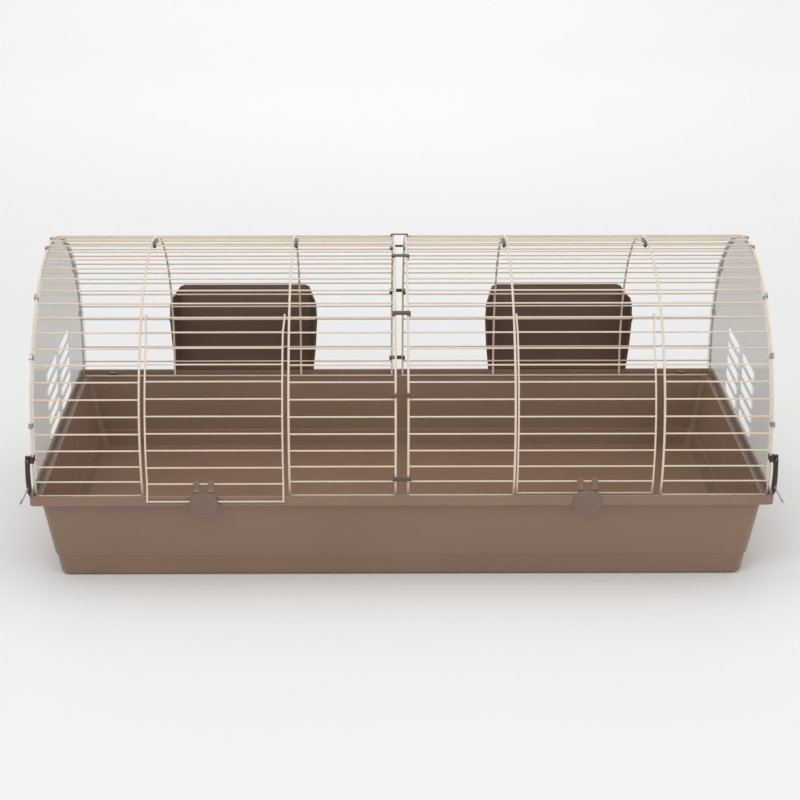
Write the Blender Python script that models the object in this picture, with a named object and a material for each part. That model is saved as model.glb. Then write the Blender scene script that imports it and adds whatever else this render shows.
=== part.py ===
# Barrel-top wire rabbit cage on a deep plastic tray. Metres, X along the length, -Y the
# front with the doors, +Z up, Z = 0 on the floor. Heights named "rim" count from the rim top.
import math

import bmesh
import bpy
from mathutils import Vector

for old in list(bpy.data.objects):
    bpy.data.objects.remove(old, do_unlink=True)

MM = 0.001
PLAY = 0.5 * MM              # gap kept between pieces that touch

# Tray
RIM_LENGTH = 1180 * MM
RIM_WIDTH = 590 * MM
TRAY_HEIGHT = 150 * MM       # rim top above the floor
TRAY_WALL = 2.5 * MM
RIM_SHELF = 17 * MM          # rim overhang beyond the wall, front and back
END_SHELF = 14 * MM          # the same at the two ends
RIM_THICK = 12 * MM          # rim top to the underside of the shelf
BEAD_WIDTH = 5.5 * MM        # raised outer edge of the rim
LEDGE_DEPTH = 8.5 * MM       # recess behind the bead that seats the wire top
LIP_WALL = 2.5 * MM
LIP_DEPTH = 16 * MM          # turned-down lip, front and back
HANDLE_DEPTH = 27 * MM       # turned-down lip at the two ends
HANDLE_RUN = 60 * MM         # length over which it deepens from a corner
WALL_LEAN = 8 * MM           # how far the front and back lean in, top to bottom
END_LEAN = 22.5 * MM         # how far the ends lean in
STEP_DEPTH = 112.5 * MM        # step line below the rim top
STEP_WIDTH = 2 * MM
FOOT_HEIGHT = 2.5 * MM
FOOT_RADIUS = 11 * MM
FOOT_INSET = 16 * MM
RIM_CORNER = 9 * MM
WALL_CORNER = 15 * MM        # at the bottom
WALL_CORNER_TOP = 11 * MM
TAB_RADIUS = 8 * MM
TAB_THICK = 3 * MM
TAB_DROP = 3 * MM            # tab top below the rim top
INNER_TAB_X = 217 * MM       # front rim only
OUTER_TAB_X = 529 * MM       # front and back rims

# Wire top
ARCH_RISE = 330 * MM         # middle of the top wires above the rim
ARCH_MID = 64 * MM           # height of the widest point above the rim
ARCH_INSET = 9.5 * MM        # widest point of the arch inside the rim edge
END_ARC_INSET = 9 * MM       # middle of the end arcs inside the rim end
ROWS = 19                    # long wires on each side of the ridge
ROW_WIRE = 2.8 * MM
ARC_WIRE = 4.0 * MM
MESH_THICK = 3.4 * MM
SEAM_HALF = 10 * MM          # middle of the meeting arcs from the centre
DOORWAY_IN = 178 * MM        # arcs beside each doorway
DOORWAY_OUT = 412 * MM
HINGE_ROW = 7                # long wire that carries the doors

# Doors and their latches
DOOR_PLAY = 9.5 * MM         # door edge wire to the arc beside it, middle to middle
DOOR_SHIFT = {"left": 0.0, "right": -4.5 * MM}    # each door off its doorway's middle
DOOR_WIRE = 3.6 * MM
DOOR_ROW = 2.6 * MM
DOOR_THICK = 3.0 * MM
DOOR_LIFT = 4 * MM           # right door's last wire above its natural row
LEFT_TILT = 2.2              # degrees the left door stands off its frame
LEFT_SAG = 3.6 * MM          # its latched wire below the natural row
LATCH_ROW = ROWS - 2
LATCH_RADIUS = 22.5 * MM
LATCH_DROP = 10.5 * MM       # disc centre below the rim top
LATCH_THICK = 2.6 * MM
EAR_IN = 6.8 * MM
EAR_OUT = 16.2 * MM
LEFT_LATCH_X = -313 * MM
RIGHT_LATCH_X = 294 * MM

# End panels and what fastens them
PANEL_THICK = 2.6 * MM
PANEL_SET = 6 * MM           # panel's inner face inside the middle of the end arc
FLANGE_THICK = 2.4 * MM
FLANGE_WIDTH = 7.5 * MM
SLOTS = 5
SLOT_HEIGHT = 20 * MM
SLOT_LENGTH = 108 * MM
SLOT_PITCH = 25 * MM
SLOT_LOW = 41 * MM           # middle of the lowest slot above the rim
SLOT_COLUMNS = (-85 * MM, 47 * MM)
CLIP_ROWS = (1, 6, 10, 14)
CLIP_LENGTH = 8 * MM
CLIP_GAUGE = 1.2 * MM
JOINER_ROWS = (2.28, 7.28, 12.28, 17.28)
JOINER_LENGTH = 7 * MM
JOINER_GAUGE = 2.0 * MM
STRAP_WIDTH = 5 * MM
STRAP_GAUGE = 1.6 * MM
STRAP_ASIDE = 6 * MM

# End latches, local u is outward from the end arc, v is outward from the front
BRACKET_ROW = 16
BRACKET_HEIGHT = 11 * MM
NOSE_HALF = 2.5 * MM
PIN_OUT = 8.2 * MM
PIN_RADIUS = 1.2 * MM
CHEEK_RADIUS = 3.4 * MM
BRACKET_WALL = 1.8 * MM
LEVER_HALF = 6.4 * MM
LEVER_END = 1.5 * MM         # lever's lower end above the rim top
LEVER_SLIM = 3.0 * MM        # half thickness of the lever's arm
LEVER_BOW = 1.2 * MM
BAIL_WIRE = 2.0 * MM
BAIL_HIGH = 15 * MM          # bail pivot above the rim top
BAIL_REACH = 14 * MM
BAIL_DROP = 29 * MM

# Hay racks
RACK_MIDDLE = {"left": 283 * MM, "right": 297.5 * MM}
RACK_MOUTH = ((0.0, 128 * MM), (50 * MM, 133 * MM), (95 * MM, 135.5 * MM),
              (126 * MM, 134.5 * MM), (138.5 * MM, 131 * MM))  # height and half width
RACK_BACK_HALF = 124 * MM
RACK_BACK_HEIGHT = 147 * MM
RACK_DEPTH = 59 * MM          # at the top
RACK_TAPER = 12 * MM          # how much less it is at the bottom
RACK_WALL = 2.5 * MM
RACK_FOOT = 0.6 * MM          # rack floor above the rim top
RACK_CORNER = 12 * MM
HOOK_UNDER = 6 * MM           # hook's top at least this far below the rack's top
HOOK_DEPTH = 6 * MM
HOOK_WIDTH = 1.8 * MM
HOOK_THICK = 3 * MM

RIM_Z = TRAY_HEIGHT
LEDGE_Z = RIM_Z - LEDGE_DEPTH
HALF_L = RIM_LENGTH / 2
HALF_W = RIM_WIDTH / 2
END_X = HALF_L - END_ARC_INSET
MESH_HALF = MESH_THICK / 2


# ---- helpers -------------------------------------------------------------------------
def finish(name, bm, origin=(0.0, 0.0, 0.0)):
    """Turn a bmesh into an object whose origin sits at the given point."""
    bmesh.ops.recalc_face_normals(bm, faces=bm.faces)
    base = Vector(origin)
    for vert in bm.verts:
        vert.co -= base
    mesh = bpy.data.meshes.new(name)
    bm.to_mesh(mesh)
    bm.free()
    obj = bpy.data.objects.new(name, mesh)
    obj.location = base
    bpy.context.scene.collection.objects.link(obj)
    return obj


def sheet_into(bm, path, half, columns, solid, place):
    """Strip or lattice: path holds ((p, q), (np, nq)) stations, columns(i) the cross lines."""
    grid = []
    for i, (point, normal) in enumerate(path):
        row = []
        for c in columns(i):
            pair = []
            for sign in (1, -1):
                p = point[0] + sign * half * normal[0]
                q = point[1] + sign * half * normal[1]
                pair.append((c, p, q))
            row.append(pair)
        grid.append(row)
    made = {}

    def vertex(i, j, k):
        if (i, j, k) not in made:
            made[(i, j, k)] = bm.verts.new(place(*grid[i][j][k]))
        return made[(i, j, k)]

    rows = len(path) - 1
    cols = len(grid[0]) - 1

    def filled(i, j):
        return 0 <= i < rows and 0 <= j < cols and solid(i, j)

    for i in range(rows):
        for j in range(cols):
            if not filled(i, j):
                continue
            for k in (0, 1):
                bm.faces.new([vertex(i, j, k), vertex(i, j + 1, k),
                              vertex(i + 1, j + 1, k), vertex(i + 1, j, k)])
            for di, dj, a, b in ((-1, 0, (0, 0), (0, 1)), (1, 0, (1, 0), (1, 1)),
                                 (0, -1, (0, 0), (1, 0)), (0, 1, (0, 1), (1, 1))):
                if not filled(i + di, j + dj):
                    bm.faces.new([vertex(i + a[0], j + a[1], 0), vertex(i + b[0], j + b[1], 0),
                                  vertex(i + b[0], j + b[1], 1), vertex(i + a[0], j + a[1], 1)])


def sheet(name, path, half, columns, solid, place, origin=(0.0, 0.0, 0.0)):
    bm = bmesh.new()
    sheet_into(bm, path, half, columns, solid, place)
    return finish(name, bm, origin)


def fill(bm, loops):
    """Close a flat region bounded by an outer loop and holes."""
    edges = []
    for loop in loops:
        for a, b in zip(loop, loop[1:] + loop[:1]):
            edge = bm.edges.get((a, b))
            edges.append(edge if edge else bm.edges.new((a, b)))
    bmesh.ops.triangle_fill(bm, use_beauty=True, edges=edges)


def wall(bm, low, high):
    for a, b, c, d in zip(low, low[1:] + low[:1], high[1:] + high[:1], high):
        bm.faces.new([a, b, c, d])


def prism(name, outline, low, high, place, origin=(0.0, 0.0, 0.0)):
    """Extrude an outline of (p, q) from low to high along the third local axis."""
    bm = bmesh.new()
    ends = [[bm.verts.new(place(c, p, q)) for p, q in outline] for c in (low, high)]
    wall(bm, ends[0], ends[1])
    for loop in ends:
        fill(bm, [loop])
    return finish(name, bm, origin)


def circle(cp, cq, radius, count, start=0.0):
    step = 2 * math.pi / count
    return [(cp + radius * math.cos(start + i * step), cq + radius * math.sin(start + i * step))
            for i in range(count)]


def boolean(target, tool, operation):
    """Apply one exact boolean and throw the tool away."""
    mod = target.modifiers.new(operation.lower(), "BOOLEAN")
    mod.operation = operation
    mod.solver = "EXACT"
    mod.object = tool
    graph = bpy.context.evaluated_depsgraph_get()
    graph.update()
    mesh = bpy.data.meshes.new_from_object(target.evaluated_get(graph))
    target.modifiers.clear()
    target.data = mesh
    bpy.data.objects.remove(tool, do_unlink=True)


def lerp(a, b, t):
    return a + (b - a) * t


def yz(x, y, z):
    """Columns along X, path in (Y, Z)."""
    return (x, y, z)


def by_x(c, p, q):
    return (c, p, q)


# ---- arch: half an ellipse that tucks in again below its widest point ------------------
ARCH_A = HALF_W - ARCH_INSET
ARCH_B = ARCH_RISE - ARCH_MID
ARCH_Z = RIM_Z + ARCH_MID
ARCH_STEPS = 4000
ARCH_SPAN = math.radians(120)
arch_table = [0.0]
for step_index in range(ARCH_STEPS):
    mid_angle = (step_index + 0.5) * ARCH_SPAN / ARCH_STEPS
    arch_table.append(arch_table[-1] + math.hypot(ARCH_A * math.cos(mid_angle),
                                                  ARCH_B * math.sin(mid_angle))
                      * ARCH_SPAN / ARCH_STEPS)


def arch_angle(distance):
    low, high = 0, ARCH_STEPS
    while high - low > 1:
        middle = (low + high) // 2
        if arch_table[middle] < distance:
            low = middle
        else:
            high = middle
    share = (distance - arch_table[low]) / (arch_table[high] - arch_table[low])
    return (low + share) * ARCH_SPAN / ARCH_STEPS


def arch(distance, offset=0.0):
    """Point and outward normal at a signed distance from the ridge, front positive."""
    angle = arch_angle(abs(distance))
    side = -1 if distance >= 0 else 1
    ny, nz = side * ARCH_B * math.sin(angle), ARCH_A * math.cos(angle)
    size = math.hypot(ny, nz)
    normal = (ny / size, nz / size)
    point = (side * ARCH_A * math.sin(angle) + offset * normal[0],
             ARCH_Z + ARCH_B * math.cos(angle) + offset * normal[1])
    return point, normal


def distance_at(height):
    """Distance along the arch at which it comes down to a height."""
    angle = math.acos((height - ARCH_Z) / ARCH_B)
    place_in = angle / ARCH_SPAN * ARCH_STEPS
    low = int(place_in)
    return lerp(arch_table[low], arch_table[low + 1], place_in - low)


SEAT_Z = LEDGE_Z + PLAY + ROW_WIRE / 2
ARCH_END = distance_at(SEAT_Z)
PITCH = ARCH_END / (ROWS - 0.5)


def row(index):
    return (index + 0.5) * PITCH


# ---- tray ------------------------------------------------------------------------------
CORNER_STEPS = 5
HANDLE_STEPS = 4


def rounded(half_x, half_y, radius):
    """Rounded rectangle with points along its ends, each with 0..1 for how far from a corner."""
    points = []
    run = []
    for i in range(1, HANDLE_STEPS + 1):
        share = i / HANDLE_STEPS
        run.append((share * HANDLE_RUN, share * share * (3 - 2 * share)))
    for quarter in range(4):
        sx = (1, -1, -1, 1)[quarter]
        sy = (1, 1, -1, -1)[quarter]
        corner = []
        for i in range(CORNER_STEPS + 1):
            turn = math.pi / 2 * i / CORNER_STEPS
            corner.append((sx * (half_x - radius + radius * math.cos(turn)),
                           sy * (half_y - radius + radius * math.sin(turn)), 0.0))
        side = [(sx * half_x, sy * (half_y - radius - far), end) for far, end in run[::-1]]
        both = side + corner
        points += both if quarter % 2 == 0 else both[::-1]
    return points


def build_tray():
    bm = bmesh.new()
    base_z = FOOT_HEIGHT
    under_z = RIM_Z - RIM_THICK
    step_z = RIM_Z - STEP_DEPTH
    span = under_z - base_z

    def ring(inset, z, radius, end_inset=None, end_z=None):
        half_x = HALF_L - (inset if end_inset is None else end_inset)
        loop = []
        for x, y, end in rounded(half_x, HALF_W - inset, radius):
            loop.append(bm.verts.new((x, y, z if end_z is None else lerp(z, end_z, end))))
        return loop

    def wall_ring(inward, z, radius, at=None):
        """Ring that follows the leaning walls, a little inside their outer faces."""
        share = (under_z - (z if at is None else at)) / span
        return ring(RIM_SHELF + WALL_LEAN * share + inward, z, radius,
                    END_SHELF + END_LEAN * share + inward)

    foot_round = 3 * MM
    inner_step_z = step_z + TRAY_WALL / 2
    floor_z = base_z + TRAY_WALL
    top_corner = WALL_CORNER_TOP - TRAY_WALL
    corner = WALL_CORNER - TRAY_WALL
    inner = TRAY_WALL + STEP_WIDTH
    rings = [
        wall_ring(STEP_WIDTH + foot_round, base_z, WALL_CORNER - foot_round),
        wall_ring(STEP_WIDTH, base_z + foot_round, WALL_CORNER),
        wall_ring(STEP_WIDTH, step_z - 1 * MM, WALL_CORNER),
        wall_ring(0.0, step_z + 1 * MM, WALL_CORNER),
        wall_ring(0.0, under_z, WALL_CORNER_TOP),
        ring(LIP_WALL, under_z, RIM_CORNER - LIP_WALL),
        ring(LIP_WALL, RIM_Z - LIP_DEPTH, RIM_CORNER - LIP_WALL, None, RIM_Z - HANDLE_DEPTH),
        ring(0.0, RIM_Z - LIP_DEPTH, RIM_CORNER, None, RIM_Z - HANDLE_DEPTH),
        ring(0.0, RIM_Z - 1.2 * MM, RIM_CORNER),
        ring(1.2 * MM, RIM_Z, RIM_CORNER - 1.2 * MM),
        ring(BEAD_WIDTH - 0.8 * MM, RIM_Z, RIM_CORNER - BEAD_WIDTH + 0.8 * MM),
        ring(BEAD_WIDTH, RIM_Z - 0.8 * MM, RIM_CORNER - BEAD_WIDTH),
        ring(BEAD_WIDTH, LEDGE_Z, RIM_CORNER - BEAD_WIDTH),
        wall_ring(TRAY_WALL - 1 * MM, LEDGE_Z, top_corner, under_z),
        wall_ring(TRAY_WALL, LEDGE_Z - 1 * MM, top_corner, under_z),
        wall_ring(TRAY_WALL, inner_step_z + 2 * MM, corner),
        wall_ring(inner, inner_step_z - 1 * MM, corner),
        wall_ring(inner, floor_z + foot_round, corner),
        wall_ring(inner + foot_round, floor_z, corner - foot_round),
    ]
    for low, high in zip(rings, rings[1:]):
        wall(bm, low, high)
    foot_x = HALF_L - END_SHELF - END_LEAN - STEP_WIDTH - FOOT_INSET
    foot_y = HALF_W - RIM_SHELF - WALL_LEAN - STEP_WIDTH - FOOT_INSET
    under = [rings[0]]
    for sx in (-1, 1):
        for sy in (-1, 1):
            foot = circle(sx * foot_x, sy * foot_y, FOOT_RADIUS, 16)
            near = [bm.verts.new((x, y, base_z)) for x, y in foot]
            far = [bm.verts.new((x, y, 0.0)) for x, y in foot]
            wall(bm, near, far)
            fill(bm, [far])
            under.append(near)
    fill(bm, under)
    fill(bm, [rings[-1]])
    tray = finish("tray", bm)
    top = RIM_Z - TAB_DROP
    for tab_x, side in ((INNER_TAB_X, -1), (OUTER_TAB_X, -1), (OUTER_TAB_X, 1)):
        for sx in (-1, 1):
            edge = side * (HALF_W - BEAD_WIDTH)
            arc = [(sx * tab_x + TAB_RADIUS * math.cos(i * math.pi / 8),
                    edge - side * TAB_RADIUS * math.sin(i * math.pi / 8)) for i in range(9)]
            root = edge + side * 1 * MM
            outline = arc + [(sx * tab_x - TAB_RADIUS, root), (sx * tab_x + TAB_RADIUS, root)]
            tab = prism("tab", outline, top - TAB_THICK, top, lambda c, p, q: (p, q, c))
            boolean(tray, tab, "UNION")
    return tray


# ---- wire panels -----------------------------------------------------------------------
def wire_panel(name, side_x, side_y):
    """One quarter of the wire top: side_x -1 left, 1 right; side_y 1 front, -1 back."""
    arcs = [SEAM_HALF, DOORWAY_IN, DOORWAY_OUT, END_X]
    lines = []
    for x in arcs:
        lines += [side_x * (x - ARC_WIRE / 2), side_x * (x + ARC_WIRE / 2)]
    path, is_row = [], []
    if side_y < 0:
        # the back arcs run over the ridge to the front panel's top wire
        path = [arch(row(0) - ROW_WIRE / 2 - PLAY), arch(0.0)]
        is_row = [False, False]
    for index in range(ROWS):
        for edge in (-1, 1):
            path.append(arch(side_y * (row(index) + edge * ROW_WIRE / 2)))
            is_row.append(edge < 0)

    def solid(i, j):
        if j % 2 == 0:
            return True
        if not is_row[i]:
            return False
        index = (i - (2 if side_y < 0 else 0)) // 2
        return not (side_y > 0 and j == 3 and index > HINGE_ROW)

    return sheet(name, path, MESH_HALF, lambda i: lines, solid, yz)


# ---- doors -----------------------------------------------------------------------------
HINGE, HINGE_NORMAL = arch(row(HINGE_ROW))
HINGE_DOWN = (HINGE_NORMAL[1], -HINGE_NORMAL[0])
if HINGE_DOWN[1] > 0:
    HINGE_DOWN = (-HINGE_DOWN[0], -HINGE_DOWN[1])
HOOK_R = math.hypot(MESH_HALF, ROW_WIRE / 2) + 0.6 * MM + DOOR_THICK / 2


def hook_path(centre, normal, down, radius, angles):
    """Stations round a wire, 0 degrees outside it, 90 above it, 180 inside it."""
    path = []
    for degrees in angles:
        turn = math.radians(degrees)
        n = (math.cos(turn) * normal[0] - math.sin(turn) * down[0],
             math.cos(turn) * normal[1] - math.sin(turn) * down[1])
        path.append(((centre[0] + radius * n[0], centre[1] + radius * n[1]), n))
    return path


def swing(point, normal, degrees):
    """Turn a station outward about the door hinge."""
    turn = math.radians(degrees)
    c, s = math.cos(turn), math.sin(turn)
    y, z = point[0] - HINGE[0], point[1] - HINGE[1]
    return ((HINGE[0] + y * c + z * s, HINGE[1] - y * s + z * c),
            (normal[0] * c + normal[1] * s, -normal[0] * s + normal[1] * c))


def door_row(index, sag):
    """Distance of a door wire from the ridge; sag lowers the latched wire, less above it."""
    return row(index) + sag * max(0, index - LATCH_ROW + 2) / 2


def door_stations(tilt, sag, hem):
    """Lattice stations of a door; hem gives the last wire, or None for its natural row."""
    path = hook_path(HINGE, HINGE_NORMAL, HINGE_DOWN, HOOK_R, (205, 170, 135, 100, 65, 30, 0))
    rows = [False] * len(path)
    for index in range(HINGE_ROW + 1, ROWS):
        last = index == ROWS - 1
        middle = door_row(index, sag) - (DOOR_LIFT if last else 0.0)
        for edge in (-1, 1):
            path.append(arch(middle + edge * DOOR_ROW / 2))
            rows.append(edge < 0)
    path = [swing(point, normal, tilt) for point, normal in path]
    if hem:
        for k, edge in ((-2, 1), (-1, -1)):
            path[k] = ((hem[0], hem[1] + edge * DOOR_ROW / 2), (-1.0, 0.0))
    return path, rows


HEM_LEFT = (-(HALF_W + DOOR_THICK / 2 + 2.2 * MM), RIM_Z - 6.5 * MM)


def build_door(label, side_x, tilt, sag, hem):
    middle = side_x * (DOORWAY_IN + DOORWAY_OUT) / 2 + DOOR_SHIFT[label]
    half = (DOORWAY_OUT - DOORWAY_IN) / 2 - DOOR_PLAY
    lines = []
    for x in (middle - half, middle + half):
        lines += [x - DOOR_WIRE / 2, x + DOOR_WIRE / 2]
    path, rows = door_stations(tilt, sag, hem)
    return sheet("door_" + label, path, DOOR_THICK / 2, lambda i: lines,
                 lambda i, j: j != 1 or rows[i], yz, (middle, HINGE[0], HINGE[1]))


def latched_wire(tilt, sag):
    point, normal = arch(door_row(LATCH_ROW, sag))
    return swing(point, normal, tilt)[0]


def build_latch(name, middle_x, tilt, sag, plane_y):
    """Plate with two ears that hook round a door wire and a disc over the rim's lip."""
    centre = latched_wire(tilt, sag)
    radius = math.hypot(DOOR_THICK, DOOR_ROW) / 2 + 0.6 * MM + LATCH_THICK / 2
    path = hook_path(centre, (-1.0, 0.0), (0.0, -1.0), radius, (215, 170, 125, 80, 40, 0))
    disc_z = RIM_Z - LATCH_DROP
    ears = len(path)
    slope = Vector((plane_y - (centre[0] - radius), (RIM_Z + 6 * MM) - centre[1])).normalized()
    lean = (slope[1], -slope[0]) if slope[1] < 0 else (-slope[1], slope[0])
    knee_z = RIM_Z + 6 * MM
    widths = [EAR_OUT] * ears
    path.append(((plane_y, knee_z), Vector((lean[0] - 1.0, lean[1])).normalized()[:]))
    widths.append(EAR_OUT)
    for k in range(1, 9):
        z = lerp(knee_z, disc_z - LATCH_RADIUS + 0.6 * MM, k / 8)
        path.append(((plane_y, z), (-1.0, 0.0)))
        widths.append(math.sqrt(max(LATCH_RADIUS ** 2 - (z - disc_z) ** 2, (4 * MM) ** 2)))

    def columns(i):
        wide = widths[i]
        notch = EAR_IN
        if i > ears:
            notch = min(EAR_IN, max(wide * 0.7, min(EAR_IN, wide / 3) * 1.5) / 2)
        return [middle_x - wide, middle_x - notch, middle_x + notch, middle_x + wide]

    return sheet(name, path, LATCH_THICK / 2, columns,
                 lambda i, j: j != 1 or i >= ears, yz, (middle_x, centre[0], centre[1]))


# ---- end panels ------------------------------------------------------------------------
def build_end_panel(name, side_x):
    """Clear panel inside the end arc: plate, outward flange and two columns of slots."""
    outside = -(MESH_HALF + PLAY)
    foot_z = LEDGE_Z + PLAY
    reach = distance_at(foot_z + 2 * MM)
    count = 18
    outline = [arch(reach * i / count, outside)[0] for i in range(-count, count + 1)]
    inline = [arch(reach * i / count, outside - FLANGE_THICK)[0]
              for i in range(-count, count + 1)]
    foot_at = distance_at(foot_z)
    corner_y = -arch(foot_at, outside - PLAY)[0][0]
    outline = [(corner_y, foot_z)] + outline + [(-corner_y, foot_z)]
    inner_y = corner_y - FLANGE_THICK
    foot_in = foot_z + FLANGE_THICK
    inline = [(inner_y, foot_in)] + inline + [(-inner_y, foot_in)]
    x_in = side_x * (END_X - PANEL_SET)
    x_face = side_x * (END_X - PANEL_SET + PANEL_THICK)
    x_out = side_x * (END_X - PANEL_SET + FLANGE_WIDTH)
    bm = bmesh.new()

    def loop(points, x):
        return [bm.verts.new((x, y, z)) for y, z in points]

    out_near, out_far = loop(outline, x_in), loop(outline, x_out)
    in_far, in_face = loop(inline, x_out), loop(inline, x_face)
    wall(bm, out_near, out_far)
    wall(bm, in_face, in_far)
    for a, b, c, d in zip(out_far, out_far[1:] + out_far[:1], in_far[1:] + in_far[:1], in_far):
        bm.faces.new([a, b, c, d])
    near_loops, face_loops = [out_near], [in_face]
    radius = SLOT_HEIGHT / 2
    for middle in SLOT_COLUMNS:
        for index in range(SLOTS):
            z = RIM_Z + SLOT_LOW + index * SLOT_PITCH
            straight = SLOT_LENGTH / 2 - radius
            slot = []
            for sign, start in ((1, -math.pi / 2), (-1, math.pi / 2)):
                for i in range(7):
                    turn = start + math.pi * i / 6
                    slot.append((middle + sign * straight + radius * math.cos(turn),
                                 z + radius * math.sin(turn)))
            near, far = loop(slot, x_in), loop(slot, x_face)
            wall(bm, near, far)
            near_loops.append(near)
            face_loops.append(far)
    fill(bm, near_loops)
    fill(bm, face_loops)
    return finish(name, bm)


# ---- clips -----------------------------------------------------------------------------
def band(distance, length):
    """Place (along, across x, outward) in the arch's own frame at a distance."""
    point, normal = arch(distance)
    tangent = (normal[1], -normal[0])

    def place(along, x, out):
        return (x, point[0] + along * tangent[0] + out * normal[0],
                point[1] + along * tangent[1] + out * normal[1])
    return place


GROOVE_IN = MESH_HALF + PLAY + FLANGE_THICK + PLAY
GROOVE_OUT = MESH_HALF + PLAY
GROOVE_END = ARC_WIRE / 2 + PLAY
GROOVE_OPEN = PANEL_SET - PANEL_THICK - 0.8 * MM


def build_end_clip(name, side_x, distance):
    """Spring clip closed round the end arc and the panel's flange."""
    g = CLIP_GAUGE
    outline = [(-GROOVE_OPEN, GROOVE_OUT), (GROOVE_END, GROOVE_OUT), (GROOVE_END, -GROOVE_IN),
               (-GROOVE_OPEN, -GROOVE_IN), (-GROOVE_OPEN, -GROOVE_IN - g),
               (GROOVE_END + g, -GROOVE_IN - g), (GROOVE_END + g, GROOVE_OUT + g),
               (-GROOVE_OPEN, GROOVE_OUT + g)]
    outline = [(side_x * (END_X + u), v) for u, v in outline]
    half = CLIP_LENGTH / 2
    return prism(name, outline, -half, half, band(distance, CLIP_LENGTH))


def build_joiner(name, distance):
    """Clip over the two arcs that meet in the middle, with hooked ends."""
    g = JOINER_GAUGE
    wide = SEAM_HALF + ARC_WIRE / 2 + PLAY
    top = MESH_HALF + PLAY
    toe = MESH_HALF + PLAY
    toe_in = SEAM_HALF + ARC_WIRE / 2 - 2.4 * MM
    outline = [(-wide - g, top + g), (wide + g, top + g), (wide + g, -toe - g),
               (toe_in, -toe - g), (toe_in, -toe), (wide, -toe), (wide, top),
               (-wide, top), (-wide, -toe), (-toe_in, -toe), (-toe_in, -toe - g),
               (-wide - g, -toe - g)]
    half = JOINER_LENGTH / 2
    return prism(name, outline, -half, half, band(distance, JOINER_LENGTH))


def build_strap(name, x):
    """Strap over the ridge that hooks the front panel's top wire to the back panel's."""
    lift = MESH_HALF + PLAY + STRAP_GAUGE / 2
    radius = math.hypot(MESH_HALF, ROW_WIRE / 2) + PLAY + STRAP_GAUGE / 2
    path = []
    for side in (1, -1):
        point, normal = arch(side * row(0))
        down = (normal[1] * -1, normal[0]) if side > 0 else (normal[1], -normal[0])
        turns = (150, 110, 70, 35, 0)
        part = []
        for degrees in turns:
            turn = math.radians(degrees)
            n = (math.cos(turn) * normal[0] + math.sin(turn) * down[0],
                 math.cos(turn) * normal[1] + math.sin(turn) * down[1])
            part.append(((point[0] + radius * n[0], point[1] + radius * n[1]), n))
        path += part if side > 0 else part[::-1]
    path.insert(len(path) // 2, arch(0.0, lift + 0.4 * MM))
    lines = [x - STRAP_WIDTH / 2, x + STRAP_WIDTH / 2]
    return sheet(name, path, STRAP_GAUGE / 2, lambda i: lines, lambda i, j: True, yz)


# ---- end latches -----------------------------------------------------------------------
BRACKET_POINT, BRACKET_NORMAL = arch(BRACKET_ROW * PITCH)
BRACKET_Y, BRACKET_Z = BRACKET_POINT


def end_place(side_x):
    """Local (w up, u outward from the end arc, v outward from the front) to world."""
    return lambda w, u, v: (side_x * (END_X + u), BRACKET_Y - v, w)


def build_bracket(name, side_x):
    g = BRACKET_WALL
    slack = 0.6 * MM
    v_out = GROOVE_OUT + slack
    v_in = -GROOVE_IN - slack
    outline = [(-GROOVE_OPEN, v_out), (GROOVE_END, v_out), (GROOVE_END, v_in),
               (-GROOVE_OPEN, v_in), (-GROOVE_OPEN, v_in - g), (GROOVE_END + g, v_in - g),
               (GROOVE_END + g, -NOSE_HALF), (PIN_OUT + CHEEK_RADIUS, -NOSE_HALF),
               (PIN_OUT + CHEEK_RADIUS, NOSE_HALF), (GROOVE_END + g, NOSE_HALF),
               (GROOVE_END + g, v_out + g), (-GROOVE_OPEN, v_out + g)]
    low, high = BRACKET_Z - BRACKET_HEIGHT / 2, BRACKET_Z + BRACKET_HEIGHT / 2
    bracket = prism(name, outline, low, high, end_place(side_x))
    hole = pin_solid("hole", side_x, PIN_RADIUS + 0.35 * MM, 4 * NOSE_HALF)
    boolean(bracket, hole, "DIFFERENCE")
    return bracket


def along_v(side_x):
    return lambda c, p, q: (side_x * (END_X + p), BRACKET_Y - c, q)


def pin_solid(name, side_x, radius, half, out=None, height=None):
    out = PIN_OUT if out is None else out
    height = BRACKET_Z if height is None else height
    return prism(name, circle(out, height, radius, 12), -half, half, along_v(side_x),
                 (side_x * (END_X + out), BRACKET_Y, height))


BAIL_OUT = PIN_OUT + 0.3 * MM
BAIL_Z = RIM_Z + BAIL_HIGH


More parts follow.
